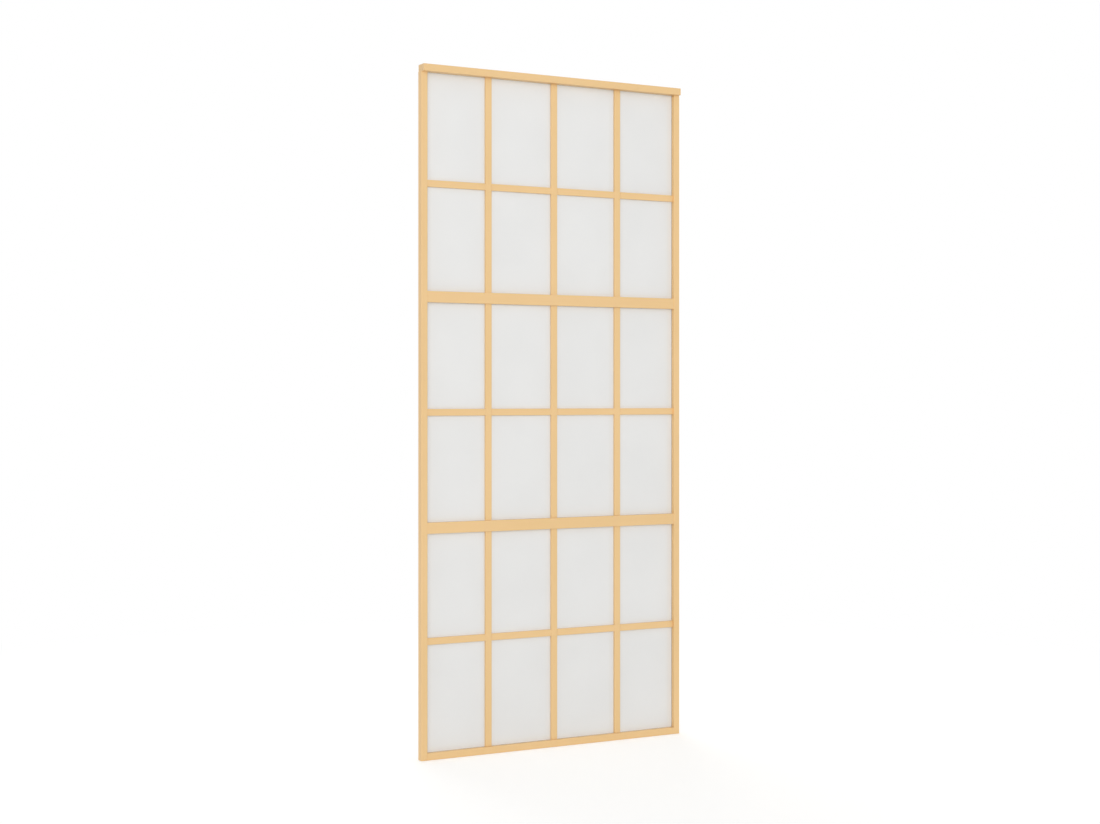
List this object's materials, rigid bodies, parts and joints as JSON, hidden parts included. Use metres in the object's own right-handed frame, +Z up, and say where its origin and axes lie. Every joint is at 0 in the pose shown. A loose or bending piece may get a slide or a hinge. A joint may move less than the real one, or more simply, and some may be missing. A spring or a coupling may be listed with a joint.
{
  "type": "sliding glass door",
  "caption": "Top-hung sliding glass door leaf: slim gold aluminium frame, frosted glass sheets, cross rails and bars that divide them into panes, and a deeper head rail with a hanger slot.",
  "frame": {"origin": "floor-side centre of the bounding box, under the leaf", "axes": "+X along the width, to the right as seen from the front; front faces -Y; +Z up"},
  "size_m": [0.9, 0.037, 2.05],
  "materials": {
    "gold_aluminium": "satin gold anodised",
    "gold_plastic": "satin, coloured like the frame",
    "frosted_glass": "tempered, etched all over",
    "gasket_rubber": "matt",
    "white_tape": "double-sided acrylic foam tape",
    "zinc_steel": "zinc plated"
  },
  "bodies": {
    "leaf": {"left_stile": "gold_aluminium", "right_stile": "gold_aluminium", "head_rail": "gold_aluminium", "bottom_rail": "gold_aluminium", "lower_cross_rail": "gold_aluminium", "upper_cross_rail": "gold_aluminium", "bottom_glass": "frosted_glass", "middle_glass": "frosted_glass", "top_glass": "frosted_glass", "bottom_gasket": "gasket_rubber", "middle_gasket": "gasket_rubber", "top_gasket": "gasket_rubber", "front_bottom_left_bar": "gold_aluminium", "front_bottom_middle_bar": "gold_aluminium", "front_bottom_right_bar": "gold_aluminium", "front_middle_left_bar": "gold_aluminium", "front_middle_middle_bar": "gold_aluminium", "front_middle_right_bar": "gold_aluminium", "front_top_left_bar": "gold_aluminium", "front_top_middle_bar": "gold_aluminium", "front_top_right_bar": "gold_aluminium", "front_bottom_cross_bars": "gold_aluminium", "front_middle_cross_bars": "gold_aluminium", "front_top_cross_bars": "gold_aluminium", "back_bottom_left_bar": "gold_aluminium", "back_bottom_middle_bar": "gold_aluminium", "back_bottom_right_bar": "gold_aluminium", "back_middle_left_bar": "gold_aluminium", "back_middle_middle_bar": "gold_aluminium", "back_middle_right_bar": "gold_aluminium", "back_top_left_bar": "gold_aluminium", "back_top_middle_bar": "gold_aluminium", "back_top_right_bar": "gold_aluminium", "back_bottom_cross_bars": "gold_aluminium", "back_middle_cross_bars": "gold_aluminium", "back_top_cross_bars": "gold_aluminium", "front_bottom_tapes": "white_tape", "front_middle_tapes": "white_tape", "front_top_tapes": "white_tape", "back_bottom_tapes": "white_tape", "back_middle_tapes": "white_tape", "back_top_tapes": "white_tape", "left_foot_plug": "gold_plastic", "right_foot_plug": "gold_plastic", "left_head_block": "zinc_steel", "right_head_block": "zinc_steel", "left_end_cap": "gold_plastic", "right_end_cap": "gold_plastic", "frame_screws": "zinc_steel", "screw_covers": "gold_plastic", "head_screws": "zinc_steel"},
    "left_hanger": {"left_hanger_plate": "zinc_steel", "left_clamp_screws": "zinc_steel"},
    "right_hanger": {"right_hanger_plate": "zinc_steel", "right_clamp_screws": "zinc_steel"}
  },
  "joints": [
    {"name": "left_hanger_slide", "type": "slide", "parent": "leaf", "child": "left_hanger", "axis": [1, 0, 0], "range_m": [-0.07, 0.25]},
    {"name": "right_hanger_slide", "type": "slide", "parent": "leaf", "child": "right_hanger", "axis": [1, 0, 0], "range_m": [-0.25, 0.07]}
  ]
}
